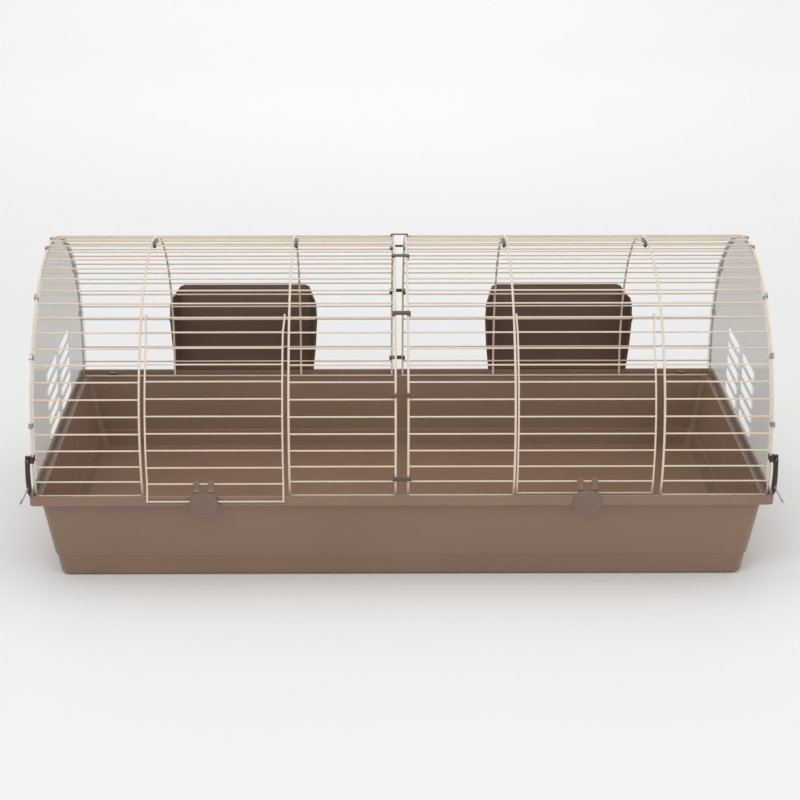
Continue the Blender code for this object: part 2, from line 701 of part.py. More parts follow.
def build_lever(name, side_x):
    """Curved lever with two cheeks on the bracket's nose."""
    end_z = RIM_Z + LEVER_END
    spine = []
    steps = 8
    for i in range(1, steps + 1):
        t = i / steps
        spine.append((PIN_OUT + math.sin(t * math.pi) * LEVER_BOW, lerp(BRACKET_Z, end_z, t)))
    slim = LEVER_SLIM
    cap = [(PIN_OUT + CHEEK_RADIUS * math.cos(a), BRACKET_Z + CHEEK_RADIUS * math.sin(a))
           for a in [math.radians(d) for d in (185, 150, 115, 80, 45, 10)]]
    outer_side = [(u + slim, z) for u, z in spine[:-1]]
    inner_side = [(u - slim, z) for u, z in spine[:-1]]
    tip = spine[-1]
    tail = [(tip[0] + slim * 0.6, tip[1]), (tip[0] - slim * 0.6, tip[1])]
    outline = cap + outer_side + tail + inner_side[::-1]
    origin = (side_x * (END_X + PIN_OUT), BRACKET_Y, BRACKET_Z)
    lever = prism(name, outline, -LEVER_HALF, LEVER_HALF, along_v(side_x), origin)
    slot_low = BRACKET_Z - BRACKET_HEIGHT / 2 - 2.5 * MM
    slot = [(0.0, slot_low), (4 * PIN_OUT, slot_low),
            (4 * PIN_OUT, slot_low + 40 * MM), (0.0, slot_low + 40 * MM)]
    boolean(lever, prism("slot", slot, -NOSE_HALF - PLAY, NOSE_HALF + PLAY, along_v(side_x)),
            "DIFFERENCE")
    boolean(lever, pin_solid("hole", side_x, PIN_RADIUS + 0.35 * MM, 2 * LEVER_HALF),
            "DIFFERENCE")
    boolean(lever, pin_solid("hole", side_x, BAIL_WIRE * 0.71 + 0.4 * MM, 2 * LEVER_HALF,
                             BAIL_OUT, BAIL_Z), "DIFFERENCE")
    return lever


def build_bail(name, side_x):
    """Closed wire loop through the lever, its free end hanging outside the rim."""
    half = BAIL_WIRE / 2
    size = math.hypot(BAIL_REACH, BAIL_DROP)
    d = (BAIL_REACH / size, -BAIL_DROP / size)
    n = (-d[1], d[0])
    path = []
    for distance in (-half, half, size - half, size + half):
        path.append(((BAIL_OUT + d[0] * distance, BAIL_Z + d[1] * distance), n))
    leg = LEVER_HALF + 1.5 * MM
    lines = [-leg - half, -leg + half, leg - half, leg + half]
    return sheet(name, path, half, lambda i: lines, lambda i, j: i != 1 or j != 1,
                 along_v(side_x), (side_x * (END_X + BAIL_OUT), BRACKET_Y, BAIL_Z))


# ---- hay racks -------------------------------------------------------------------------
def build_rack(name, middle):
    """Bin with flared side walls, open at the top and toward the wires."""
    front_y = ARCH_A + MESH_HALF + 2.0 * MM
    base_z = RIM_Z + RACK_FOOT
    front_high = RACK_MOUTH[-1][0]

    def mouth_half(height):
        for (low, a), (high, b) in zip(RACK_MOUTH, RACK_MOUTH[1:]):
            if height <= high:
                return lerp(a, b, (height - low) / (high - low))
        return RACK_MOUTH[-1][1]

    def section(inward, rise):
        """One side of the mouth and of the back, bottom to top, as matching lists."""
        mouth = [(half - inward, max(height, inward)) for height, half in RACK_MOUTH]
        mouth += [(0.5 * (RACK_MOUTH[-1][1] - inward), front_high + rise)]
        radius = RACK_CORNER - inward
        half = RACK_BACK_HALF - inward
        straight = RACK_BACK_HEIGHT - RACK_CORNER
        back = [(half, max(share * straight, inward)) for share in (0.0, 0.5, 1.0)]
        for degrees in (45, 90):
            turn = math.radians(degrees)
            back.append((half - radius + radius * math.cos(turn),
                         straight + radius * math.sin(turn) + (rise if degrees == 90 else 0.0)))
        back.append((0.5 * half, RACK_BACK_HEIGHT - inward + rise))
        mouth[-2] = (mouth[-2][0], mouth[-2][1] + rise)
        return mouth, back

    def solid(label, inward, rise, near_y, back_in):
        mouth, back = section(inward, rise)
        bm = bmesh.new()
        loops = []
        for points, depth in ((mouth, 0.0), (back, 1.0)):
            loop = []
            for side, order in ((1, points), (-1, points[::-1])):
                for x, height in order:
                    slope = RACK_TAPER * (1 - height / RACK_BACK_HEIGHT)
                    y = near_y + depth * (front_y - near_y + RACK_DEPTH - slope - back_in)
                    loop.append(bm.verts.new((middle + side * x, y, base_z + height)))
            loops.append(loop)
        wall(bm, loops[0], loops[1])
        fill(bm, [loops[0]])
        fill(bm, [loops[1]])
        return finish(label, bm)

    rack = solid(name, 0.0, 0.0, front_y, 0.0)
    boolean(rack, solid("hollow", RACK_WALL, 20 * MM, front_y - 9 * MM, RACK_WALL),
            "DIFFERENCE")
    gap = math.hypot(MESH_HALF, ROW_WIRE / 2) + 0.6 * MM
    hook_room = front_high - HOOK_UNDER - HOOK_THICK - gap
    wire = next(point for point in (arch(-row(index))[0] for index in range(ROWS))
                if point[1] < base_z + hook_room)
    inside = wire[0] - gap
    over = wire[1] + gap
    hook = [(front_y + 1 * MM, over - 6 * MM), (front_y + 1 * MM, over + HOOK_THICK),
            (inside - HOOK_THICK, over + HOOK_THICK), (inside - HOOK_THICK, over - HOOK_DEPTH),
            (inside, over - HOOK_DEPTH), (inside, over), (front_y - 1 * MM, over),
            (front_y - 1 * MM, over - 6 * MM)]
    half = mouth_half(over - base_z) - 0.3 * MM
    for x in (middle - half, middle + half - HOOK_WIDTH):
        boolean(rack, prism("hook", hook, x, x + HOOK_WIDTH, by_x), "UNION")
    return rack


# ---- build it all ----------------------------------------------------------------------
build_tray()
for side, label in ((-1, "left"), (1, "right")):
    wire_panel("wire_front_" + label, side, 1)
    wire_panel("wire_back_" + label, side, -1)
build_door("left", -1, LEFT_TILT, LEFT_SAG, HEM_LEFT)
build_door("right", 1, 0.0, 0.0, None)
build_latch("door_latch_left", LEFT_LATCH_X, LEFT_TILT, LEFT_SAG,
            HEM_LEFT[0] - DOOR_THICK / 2 - PLAY - LATCH_THICK / 2)
build_latch("door_latch_right", RIGHT_LATCH_X, 0.0, 0.0, -(HALF_W + PLAY + LATCH_THICK / 2))
for side, label in ((-1, "left"), (1, "right")):
    build_end_panel("end_panel_" + label, side)
    for front, where in ((1, "front"), (-1, "back")):
        for index, at in enumerate(CLIP_ROWS):
            build_end_clip("end_clip_%s_%s_%d" % (label, where, index + 1), side,
                           front * at * PITCH)
    for arc_x in (DOORWAY_IN, DOORWAY_OUT):
        build_strap("ridge_strap_%s_%s" % (label, "in" if arc_x == DOORWAY_IN else "out"),
                    side * (arc_x - STRAP_ASIDE))
    build_bracket("latch_bracket_" + label, side)
    pin_solid("latch_pin_" + label, side, PIN_RADIUS, LEVER_HALF + 1 * MM)
    build_lever("latch_lever_" + label, side)
    build_bail("latch_bail_" + label, side)
    build_rack("hay_rack_" + label, side * RACK_MIDDLE[label])
for front, where in ((1, "front"), (-1, "back")):
    for index, at in enumerate(JOINER_ROWS):
        build_joiner("joiner_%s_%d" % (where, index + 1), front * at * PITCH)

# centre the whole model on the origin, feet on the floor
low = Vector((math.inf,) * 3)
high = Vector((-math.inf,) * 3)
for obj in bpy.data.objects:
    for vert in obj.data.vertices:
        spot = obj.location + vert.co
        low = Vector(map(min, low, spot))
        high = Vector(map(max, high, spot))
for obj in bpy.data.objects:
    obj.location -= Vector(((low.x + high.x) / 2, (low.y + high.y) / 2, low.z))
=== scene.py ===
import math

import bmesh
import bpy
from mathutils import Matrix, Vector


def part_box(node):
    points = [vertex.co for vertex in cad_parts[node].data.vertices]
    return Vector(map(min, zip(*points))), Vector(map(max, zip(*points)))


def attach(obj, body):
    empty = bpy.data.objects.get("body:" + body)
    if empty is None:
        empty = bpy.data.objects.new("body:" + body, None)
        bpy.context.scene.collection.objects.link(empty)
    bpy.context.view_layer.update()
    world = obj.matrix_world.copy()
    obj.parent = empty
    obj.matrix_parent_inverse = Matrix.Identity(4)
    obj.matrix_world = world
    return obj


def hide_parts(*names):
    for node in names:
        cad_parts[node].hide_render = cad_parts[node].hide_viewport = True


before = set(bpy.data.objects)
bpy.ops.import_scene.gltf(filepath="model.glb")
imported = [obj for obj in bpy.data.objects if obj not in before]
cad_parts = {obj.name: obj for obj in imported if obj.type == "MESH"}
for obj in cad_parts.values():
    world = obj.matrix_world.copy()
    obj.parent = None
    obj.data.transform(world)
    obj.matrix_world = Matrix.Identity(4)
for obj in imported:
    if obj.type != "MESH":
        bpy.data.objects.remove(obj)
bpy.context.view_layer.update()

MM = 0.001

# ---- sizes shared with the CAD, in metres ----------------------------------------------
RIM_SHELF = 17 * MM
END_SHELF = 14 * MM
RIM_THICK = 12 * MM
BEAD_WIDTH = 5.5 * MM
LEDGE_DEPTH = 8.5 * MM
LIP_WALL = 2.5 * MM
LIP_DEPTH = 16 * MM
HANDLE_DEPTH = 27 * MM
HANDLE_RUN = 60 * MM
WALL_LEAN = 8 * MM
END_LEAN = 22.5 * MM
STEP_DEPTH = 112.5 * MM
STEP_WIDTH = 2 * MM
TRAY_WALL = 2.5 * MM
FOOT_HEIGHT = 2.5 * MM
FOOT_RADIUS = 11 * MM
FOOT_INSET = 16 * MM
RIM_CORNER = 9 * MM
WALL_CORNER = 15 * MM
WALL_CORNER_TOP = 11 * MM
TAB_RADIUS = 8 * MM
TAB_THICK = 3 * MM
TAB_DROP = 3 * MM
INNER_TAB_X = 217 * MM
OUTER_TAB_X = 529 * MM
ARCH_RISE = 330 * MM
ARCH_MID = 64 * MM
ARCH_INSET = 9.5 * MM
END_ARC_INSET = 9 * MM
ROWS = 19
ROW_WIRE = 2.8 * MM
MESH_HALF = 1.7 * MM
PLAY = 0.5 * MM
SEAM_HALF = 10 * MM
DOORWAY_IN = 178 * MM
DOORWAY_OUT = 412 * MM
HINGE_ROW = 7
DOOR_PLAY = 9.5 * MM
DOOR_SPLAY = 2.4 * MM
DOOR_CLEAR = 0.4 * MM
DOOR_SHIFT = {"left": 0.0, "right": -4.5 * MM}
DOOR_ROW = 2.6 * MM
DOOR_THICK = 3.0 * MM
DOOR_LIFT = 4 * MM
LEFT_TILT = 2.2
LEFT_SAG = 3.6 * MM
LATCH_ROW = ROWS - 2
LATCH_RADIUS = 22.5 * MM
LATCH_DROP = 10.5 * MM
LATCH_THICK = 2.6 * MM
EAR_IN = 6.8 * MM
EAR_OUT = 16.2 * MM
LATCH_X = {"left": -313 * MM, "right": 294 * MM}
PANEL_THICK = 2.6 * MM
PANEL_SET = 6 * MM
FLANGE_THICK = 2.4 * MM
FLANGE_WIDTH = 7.5 * MM
SLOTS = 5
SLOT_HEIGHT = 20 * MM
SLOT_LENGTH = 108 * MM
SLOT_PITCH = 25 * MM
SLOT_LOW = 41 * MM
SLOT_COLUMNS = (-85 * MM, 47 * MM)
BRACKET_ROW = 16
PIN_OUT = 8.2 * MM
CHEEK_RADIUS = 3.4 * MM
LEVER_HALF = 6.4 * MM
LEVER_END = 1.5 * MM
LEVER_SLIM = 3.0 * MM
LEVER_BOW = 1.2 * MM
BAIL_HIGH = 15 * MM
BAIL_REACH = 14 * MM
BAIL_DROP = 29 * MM

# radii of the round wires
ROW_R = 1.35 * MM
ARC_R = 1.9 * MM
DOOR_EDGE_R = 1.5 * MM
DOOR_ROW_R = 1.3 * MM
ROW_BURY = 0.4 * MM             # a door wire stops this far inside the edge wire
BAIL_R = 0.95 * MM

TRAY_LOW, TRAY_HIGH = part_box("tray")
HALF_L = (TRAY_HIGH.x - TRAY_LOW.x) / 2
HALF_W = (TRAY_HIGH.y - TRAY_LOW.y) / 2
MID_Y = (TRAY_HIGH.y + TRAY_LOW.y) / 2
RIM_Z = TRAY_HIGH.z
LEDGE_Z = RIM_Z - LEDGE_DEPTH
END_X = HALF_L - END_ARC_INSET


# ---- mesh helpers ------------------------------------------------------------------------
def to_object(name, bm, smooth=35):
    bmesh.ops.remove_doubles(bm, verts=bm.verts, dist=1e-6)
    bmesh.ops.recalc_face_normals(bm, faces=bm.faces)
    mesh = bpy.data.meshes.new(name)
    bm.to_mesh(mesh)
    bm.free()
    obj = bpy.data.objects.new(name, mesh)
    bpy.context.scene.collection.objects.link(obj)
    shade(obj, smooth)
    return obj


def shade(obj, degrees=35):
    mesh = obj.data
    mesh.shade_smooth()
    limit = math.radians(degrees)
    bm = bmesh.new()
    bm.from_mesh(mesh)
    for edge in bm.edges:
        if len(edge.link_faces) == 2:
            edge.smooth = edge.calc_face_angle(0.0) < limit
    bm.to_mesh(mesh)
    bm.free()


def ring_wall(bm, low, high):
    for a, b, c, d in zip(low, low[1:] + low[:1], high[1:] + high[:1], high):
        bm.faces.new([a, b, c, d])


def fill(bm, loops):
    edges = []
    for loop in loops:
        for a, b in zip(loop, loop[1:] + loop[:1]):
            edge = bm.edges.get((a, b))
            edges.append(edge if edge else bm.edges.new((a, b)))
    bmesh.ops.triangle_fill(bm, use_beauty=True, edges=edges)


def tube(bm, points, radius, sides=10, closed=False, dome=True):
    """Round wire along points, with domed ends when it is open."""
    points = [Vector(p) for p in points]
    count = len(points)
    rings = []
    side = None
    for i, point in enumerate(points):
        after = points[(i + 1) % count] if closed or i + 1 < count else point
        before = points[i - 1] if closed or i > 0 else point
        along = (after - before).normalized()
        if side is None:
            side = along.orthogonal().normalized()
        side = (side - along * side.dot(along)).normalized()
        other = along.cross(side)
        ring = []
        for k in range(sides):
            turn = 2 * math.pi * k / sides
            ring.append(point + radius * (math.cos(turn) * side + math.sin(turn) * other))
        rings.append((ring, along))
    built = [[bm.verts.new(p) for p in ring] for ring, _ in rings]
    for a, b in zip(built, built[1:]):
        ring_wall(bm, a, b)
    if closed:
        ring_wall(bm, built[-1], built[0])
        return
    for end, sign in ((0, -1), (-1, 1)):
        ring, along = rings[end]
        last = built[end]
        if dome:
            centre = points[end]
            cap = [bm.verts.new(centre + 0.62 * (p - centre) + sign * along * radius * 0.55)
                   for p in ring]
            ring_wall(bm, last, cap)
            last = cap
        bm.faces.new(last)


def arch_angle_table():
    """Lengths along the elliptical arch from the ridge, for finding evenly spaced wires."""
    a, b = HALF_W - ARCH_INSET, ARCH_RISE - ARCH_MID
    steps, span = 4000, math.radians(120)
    total = [0.0]
    for i in range(steps):
        mid = (i + 0.5) * span / steps
        total.append(total[-1] + math.hypot(a * math.cos(mid), b * math.sin(mid)) * span / steps)
    return a, b, steps, span, total


ARCH_A, ARCH_B, ARCH_STEPS, ARCH_SPAN, ARCH_TABLE = arch_angle_table()
ARCH_Z = RIM_Z + ARCH_MID


def arch(distance, offset=0.0):
    """(y, z) and outward normal at a signed distance from the ridge, front positive."""
    low, high = 0, ARCH_STEPS
    while high - low > 1:
        middle = (low + high) // 2
        if ARCH_TABLE[middle] < abs(distance):
            low = middle
        else:
            high = middle
    share = (abs(distance) - ARCH_TABLE[low]) / (ARCH_TABLE[high] - ARCH_TABLE[low])
    angle = (low + share) * ARCH_SPAN / ARCH_STEPS
    side = -1 if distance >= 0 else 1
    ny, nz = side * ARCH_B * math.sin(angle), ARCH_A * math.cos(angle)
    size = math.hypot(ny, nz)
    normal = (ny / size, nz / size)
    return ((MID_Y + side * ARCH_A * math.sin(angle) + offset * normal[0],
             ARCH_Z + ARCH_B * math.cos(angle) + offset * normal[1]), normal)


def distance_at(height):
    """Distance from the ridge at which the arch is at a height."""
    angle = math.acos((height - ARCH_Z) / ARCH_B)
    place = angle / ARCH_SPAN * ARCH_STEPS
    low = int(place)
    return ARCH_TABLE[low] + (ARCH_TABLE[low + 1] - ARCH_TABLE[low]) * (place - low)


ARCH_END = distance_at(LEDGE_Z + PLAY + ROW_WIRE / 2)
PITCH = ARCH_END / (ROWS - 0.5)


def row(index):
    """Distance of a long wire from the ridge."""
    return (index + 0.5) * PITCH


# ---- materials ---------------------------------------------------------------------------
def node_material(name):
    mat = bpy.data.materials.new(name)
    mat.use_nodes = True
    tree = mat.node_tree
    shader = tree.nodes["Principled BSDF"]
    return mat, tree, shader


def tone(tree, base, amount, scale, detail=3.0, stretch=None):
    """Base colour with soft drift, from object coordinates."""
    coords = tree.nodes.new("ShaderNodeTexCoord")
    source = coords.outputs["Object"]
    if stretch:
        mapping = tree.nodes.new("ShaderNodeMapping")
        mapping.inputs["Scale"].default_value = stretch
        tree.links.new(source, mapping.inputs["Vector"])
        source = mapping.outputs["Vector"]
    noise = tree.nodes.new("ShaderNodeTexNoise")
    noise.inputs["Scale"].default_value = scale
    noise.inputs["Detail"].default_value = detail
    tree.links.new(source, noise.inputs["Vector"])
    ramp = tree.nodes.new("ShaderNodeValToRGB")
    ramp.color_ramp.elements[0].position = 0.3
    ramp.color_ramp.elements[1].position = 0.7
    ramp.color_ramp.elements[0].color = [c * (1 - amount) for c in base] + [1]
    ramp.color_ramp.elements[1].color = [min(1, c * (1 + amount)) for c in base] + [1]
    tree.links.new(noise.outputs["Fac"], ramp.inputs["Fac"])
    return source, ramp.outputs["Color"]


def rough_map(tree, source, low, high, scale, stretch=(1, 1, 1)):
    """Roughness that wanders between two values."""
    mapping = tree.nodes.new("ShaderNodeMapping")
    mapping.inputs["Scale"].default_value = stretch
    tree.links.new(source, mapping.inputs["Vector"])
    noise = tree.nodes.new("ShaderNodeTexNoise")
    noise.inputs["Scale"].default_value = scale
    noise.inputs["Detail"].default_value = 5.0
    tree.links.new(mapping.outputs["Vector"], noise.inputs["Vector"])
    span = tree.nodes.new("ShaderNodeMapRange")
    span.inputs["To Min"].default_value = low
    span.inputs["To Max"].default_value = high
    tree.links.new(noise.outputs["Fac"], span.inputs["Value"])
    return span.outputs["Result"]


def grain(tree, source, scale, strength, distance):
    """Fine bumps from noise."""
    noise = tree.nodes.new("ShaderNodeTexNoise")
    noise.inputs["Scale"].default_value = scale
    noise.inputs["Detail"].default_value = 4.0
    tree.links.new(source, noise.inputs["Vector"])
    bump = tree.nodes.new("ShaderNodeBump")
    bump.inputs["Strength"].default_value = strength
    bump.inputs["Distance"].default_value = distance
    tree.links.new(noise.outputs["Fac"], bump.inputs["Height"])
    return bump.outputs["Normal"]


def moulded(name, base, rough=(0.3, 0.42), coat=0.15, drift=0.05, bump=0.12):
    """Injection-moulded plastic: slight drift in colour, satin grain, faint rubs."""
    mat, tree, shader = node_material(name)
    source, colour = tone(tree, base, drift, 6.0)
    tree.links.new(colour, shader.inputs["Base Color"])
    tree.links.new(rough_map(tree, source, rough[0], rough[1], 22.0, (1, 1, 3)),
                   shader.inputs["Roughness"])
    tree.links.new(grain(tree, source, 1400.0, bump, 0.0004), shader.inputs["Normal"])
    shader.inputs["Coat Weight"].default_value = coat
    shader.inputs["Coat Roughness"].default_value = 0.22
    shader.inputs["IOR"].default_value = 1.49
    return mat


def coated_wire(name, base):
    """Thick plastic coat on wire."""
    mat, tree, shader = node_material(name)
    source, colour = tone(tree, base, 0.04, 38.0)
    tree.links.new(colour, shader.inputs["Base Color"])
    tree.links.new(rough_map(tree, source, 0.24, 0.36, 60.0), shader.inputs["Roughness"])
    tree.links.new(grain(tree, source, 420.0, 0.1, 0.0005), shader.inputs["Normal"])
    shader.inputs["Coat Weight"].default_value = 0.35
    shader.inputs["Coat Roughness"].default_value = 0.12
    return mat


def plated_steel(name, base, rough=(0.24, 0.4)):
    """Bright metal, a little streaked along Y."""
    mat, tree, shader = node_material(name)
    source, colour = tone(tree, base, 0.1, 130.0)
    tree.links.new(colour, shader.inputs["Base Color"])
    tree.links.new(rough_map(tree, source, rough[0], rough[1], 300.0, (1, 8, 1)),
                   shader.inputs["Roughness"])
    tree.links.new(grain(tree, source, 900.0, 0.12, 0.0003), shader.inputs["Normal"])
    shader.inputs["Metallic"].default_value = 1.0
    return mat


def clear_sheet(name, base, haze=0.03):
    """Thin clear film: light goes straight through, with haze and a gloss at grazing angles."""
    mat, tree, shader = node_material(name)
    source, colour = tone(tree, base, 0.02, 4.0)
    tree.links.new(colour, shader.inputs["Base Color"])
    tree.links.new(rough_map(tree, source, 0.04, 0.1, 12.0), shader.inputs["Roughness"])
    tree.links.new(grain(tree, source, 5.0, 0.15, 0.002), shader.inputs["Normal"])
    through = tree.nodes.new("ShaderNodeBsdfTransparent")
    through.inputs["Color"].default_value = (0.93, 0.915, 0.9, 1.0)
    fresnel = tree.nodes.new("ShaderNodeFresnel")
    fresnel.inputs["IOR"].default_value = 1.3
    solidity = tree.nodes.new("ShaderNodeMapRange")
    solidity.inputs["To Min"].default_value = haze
    solidity.inputs["To Max"].default_value = 0.4
    tree.links.new(fresnel.outputs["Fac"], solidity.inputs["Value"])
    mix = tree.nodes.new("ShaderNodeMixShader")
    tree.links.new(solidity.outputs["Result"], mix.inputs["Fac"])
    tree.links.new(through.outputs["BSDF"], mix.inputs[1])
    tree.links.new(shader.outputs["BSDF"], mix.inputs[2])
    tree.links.new(mix.outputs["Shader"], tree.nodes["Material Output"].inputs["Surface"])
    return mat


MAT = {
    "tray": moulded("tray_plastic", (0.262, 0.163, 0.108), (0.26, 0.38), 0.2),
    "wire": coated_wire("wire_coating", (0.80, 0.67, 0.54)),
    "clear": clear_sheet("clear_plastic", (0.4, 0.36, 0.32)),
    "steel": plated_steel("clip_steel", (0.42, 0.38, 0.35)),
    "brown": moulded("clip_plastic", (0.11, 0.068, 0.045), (0.3, 0.4)),
    "latch": moulded("latch_plastic", (0.2, 0.132, 0.092), (0.3, 0.42)),
    "lever": moulded("lever_plastic", (0.032, 0.02, 0.015), (0.28, 0.4), 0.05),
    "rack": moulded("rack_plastic", (0.134, 0.08, 0.05), (0.34, 0.46), 0.06),
}


def dress(obj, key, body, slot, *nodes):
    """Give a piece its material, hide the CAD nodes it stands in for and attach it to its body; slot
    is not used.
    """
    obj.data.materials.clear()
    obj.data.materials.append(MAT[key])
    if nodes:
        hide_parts(*nodes)
    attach(obj, body)
    return obj


def soften(node, width, key, body, slot, segments=2):
    """Moulded copy of a CAD node: flats merged and every edge rounded."""
    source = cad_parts[node].data
    bm = bmesh.new()
    bm.from_mesh(source)
    bmesh.ops.remove_doubles(bm, verts=bm.verts, dist=2e-6)
    bmesh.ops.dissolve_limit(bm, angle_limit=math.radians(2), verts=bm.verts, edges=bm.edges)
    sharp = [e for e in bm.edges if len(e.link_faces) == 2
             and e.calc_face_angle(0.0) > math.radians(28)]
    bmesh.ops.bevel(bm, geom=sharp, offset=width, offset_type="OFFSET", segments=segments,
                    profile=0.5, affect="EDGES", clamp_overlap=True)
    obj = to_object(node + "_moulded", bm, 40)
    return dress(obj, key, body, slot, node)


# ---- tray --------------------------------------------------------------------------------
CORNER_STEPS = 12
HANDLE_STEPS = 10


def smooth_step(t):
    return t * t * (3 - 2 * t)


def rounded(half_x, half_y, radius):
    """Rounded rectangle with points along its ends, each with 0..1 for how far from a corner."""
    points = []
    run = [i / HANDLE_STEPS for i in range(1, HANDLE_STEPS + 1)]
    for quarter in range(4):
        sx = (1, -1, -1, 1)[quarter]
        sy = (1, 1, -1, -1)[quarter]
        corner = []
        for i in range(CORNER_STEPS + 1):
            turn = math.pi / 2 * i / CORNER_STEPS
            corner.append((sx * (half_x - radius + radius * math.cos(turn)),
                           sy * (half_y - radius + radius * math.sin(turn)), 0.0))
        side = [(sx * half_x, sy * (half_y - radius - far * HANDLE_RUN), smooth_step(far))
                for far in run[::-1]]
        both = side + corner
        points += both if quarter % 2 == 0 else both[::-1]
    return points


def make_tray():
    """Moulded shell swept from the underside, round the rim and down to the floor."""
    bm = bmesh.new()
    under = RIM_Z - RIM_THICK
    step_z = RIM_Z - STEP_DEPTH
    span = under - FOOT_HEIGHT

    def ring(inset, z, radius, end_inset=None, end_z=None):
        half_x = HALF_L - (inset if end_inset is None else end_inset)
        loop = []
        for x, y, end in rounded(half_x, HALF_W - inset, radius):
            high = z if end_z is None else z + (end_z - z) * end
            loop.append(bm.verts.new((x, MID_Y + y, high)))
        return loop

    def wall_ring(inward, z, radius, at=None):
        share = (under - (z if at is None else at)) / span
        return ring(RIM_SHELF + WALL_LEAN * share + inward, z, radius,
                    END_SHELF + END_LEAN * share + inward)

    def lip_ring(inward, rise, radius):
        return ring(inward, RIM_Z - LIP_DEPTH + rise, radius, None, RIM_Z - HANDLE_DEPTH + rise)

    soft = 3 * MM
    floor_z = FOOT_HEIGHT + TRAY_WALL
    inner_step = step_z + TRAY_WALL / 2
    top_corner = WALL_CORNER_TOP - TRAY_WALL
    corner = WALL_CORNER - TRAY_WALL
    inner = TRAY_WALL + STEP_WIDTH
    bead_corner = RIM_CORNER - BEAD_WIDTH
    rings = [wall_ring(STEP_WIDTH + soft, FOOT_HEIGHT, WALL_CORNER - soft),
             wall_ring(STEP_WIDTH + soft * 0.29, FOOT_HEIGHT + soft * 0.29,
                       WALL_CORNER - soft * 0.29),
             wall_ring(STEP_WIDTH, FOOT_HEIGHT + soft, WALL_CORNER),
             wall_ring(STEP_WIDTH, step_z - 1.6 * MM, WALL_CORNER),
             wall_ring(STEP_WIDTH * 0.8, step_z - 0.8 * MM, WALL_CORNER),
             wall_ring(STEP_WIDTH * 0.2, step_z - 0.2 * MM, WALL_CORNER),
             wall_ring(0.0, step_z + 1 * MM, WALL_CORNER),
             wall_ring(0.0, under - 1.5 * MM, WALL_CORNER_TOP),
             wall_ring(-0.4 * MM, under - 0.4 * MM, WALL_CORNER_TOP),
             wall_ring(-1.5 * MM, under, WALL_CORNER_TOP),
             ring(LIP_WALL + 0.6 * MM, under, RIM_CORNER - LIP_WALL),
             ring(LIP_WALL, under - 0.6 * MM, RIM_CORNER - LIP_WALL),
             lip_ring(LIP_WALL, 0.5 * MM, RIM_CORNER - LIP_WALL),
             lip_ring(LIP_WALL - 0.6 * MM, 0.0, RIM_CORNER - LIP_WALL),
             lip_ring(0.6 * MM, 0.0, RIM_CORNER),
             lip_ring(0.0, 0.6 * MM, RIM_CORNER),
             ring(0.0, RIM_Z - 1.6 * MM, RIM_CORNER),
             ring(0.5 * MM, RIM_Z - 0.5 * MM, RIM_CORNER - 0.5 * MM),
             ring(1.6 * MM, RIM_Z, RIM_CORNER - 1.6 * MM),
             ring(BEAD_WIDTH - 1.3 * MM, RIM_Z, bead_corner + 1.3 * MM),
             ring(BEAD_WIDTH - 0.4 * MM, RIM_Z - 0.4 * MM, bead_corner),
             ring(BEAD_WIDTH, RIM_Z - 1.3 * MM, bead_corner),
             ring(BEAD_WIDTH, LEDGE_Z + 0.8 * MM, bead_corner),
             ring(BEAD_WIDTH + 0.8 * MM, LEDGE_Z, bead_corner),
             wall_ring(TRAY_WALL - 1.4 * MM, LEDGE_Z, top_corner, under),
             wall_ring(TRAY_WALL - 0.4 * MM, LEDGE_Z - 0.4 * MM, top_corner, under),
             wall_ring(TRAY_WALL, LEDGE_Z - 1.4 * MM, top_corner, under),
             wall_ring(TRAY_WALL, inner_step + 2.2 * MM, corner),
             wall_ring(TRAY_WALL + STEP_WIDTH * 0.2, inner_step + 0.6 * MM, corner),
             wall_ring(TRAY_WALL + STEP_WIDTH * 0.8, inner_step - 0.2 * MM, corner),
             wall_ring(inner, inner_step - 1.2 * MM, corner),
             wall_ring(inner, floor_z + 2 * soft, corner),
             wall_ring(inner + 0.5 * soft, floor_z + 0.6 * soft, corner - soft * 0.5),
             wall_ring(inner + 2 * soft, floor_z, corner - soft)]
    for low, high in zip(rings, rings[1:]):
        ring_wall(bm, low, high)
    foot_x = HALF_L - END_SHELF - END_LEAN - STEP_WIDTH - FOOT_INSET
    foot_y = HALF_W - RIM_SHELF - WALL_LEAN - STEP_WIDTH - FOOT_INSET
    under_loops = [rings[0]]
    for sx in (-1, 1):
        for sy in (-1, 1):
            stack = []
            for r, z in ((FOOT_RADIUS, FOOT_HEIGHT), (FOOT_RADIUS, 0.6 * MM),
                         (FOOT_RADIUS - 0.6 * MM, 0.0)):
                stack.append([bm.verts.new((sx * foot_x + r * math.cos(2 * math.pi * k / 32),
                                            MID_Y + sy * foot_y
                                            + r * math.sin(2 * math.pi * k / 32), z))
                              for k in range(32)])
            ring_wall(bm, stack[0], stack[1])
            ring_wall(bm, stack[1], stack[2])
            bm.faces.new(stack[2])
            under_loops.append(stack[0])
    fill(bm, under_loops)
    fill(bm, [rings[-1]])
    obj = to_object("tray_shell", bm, 32)
    return dress(obj, "tray", "tray", "tray_plastic", "tray")


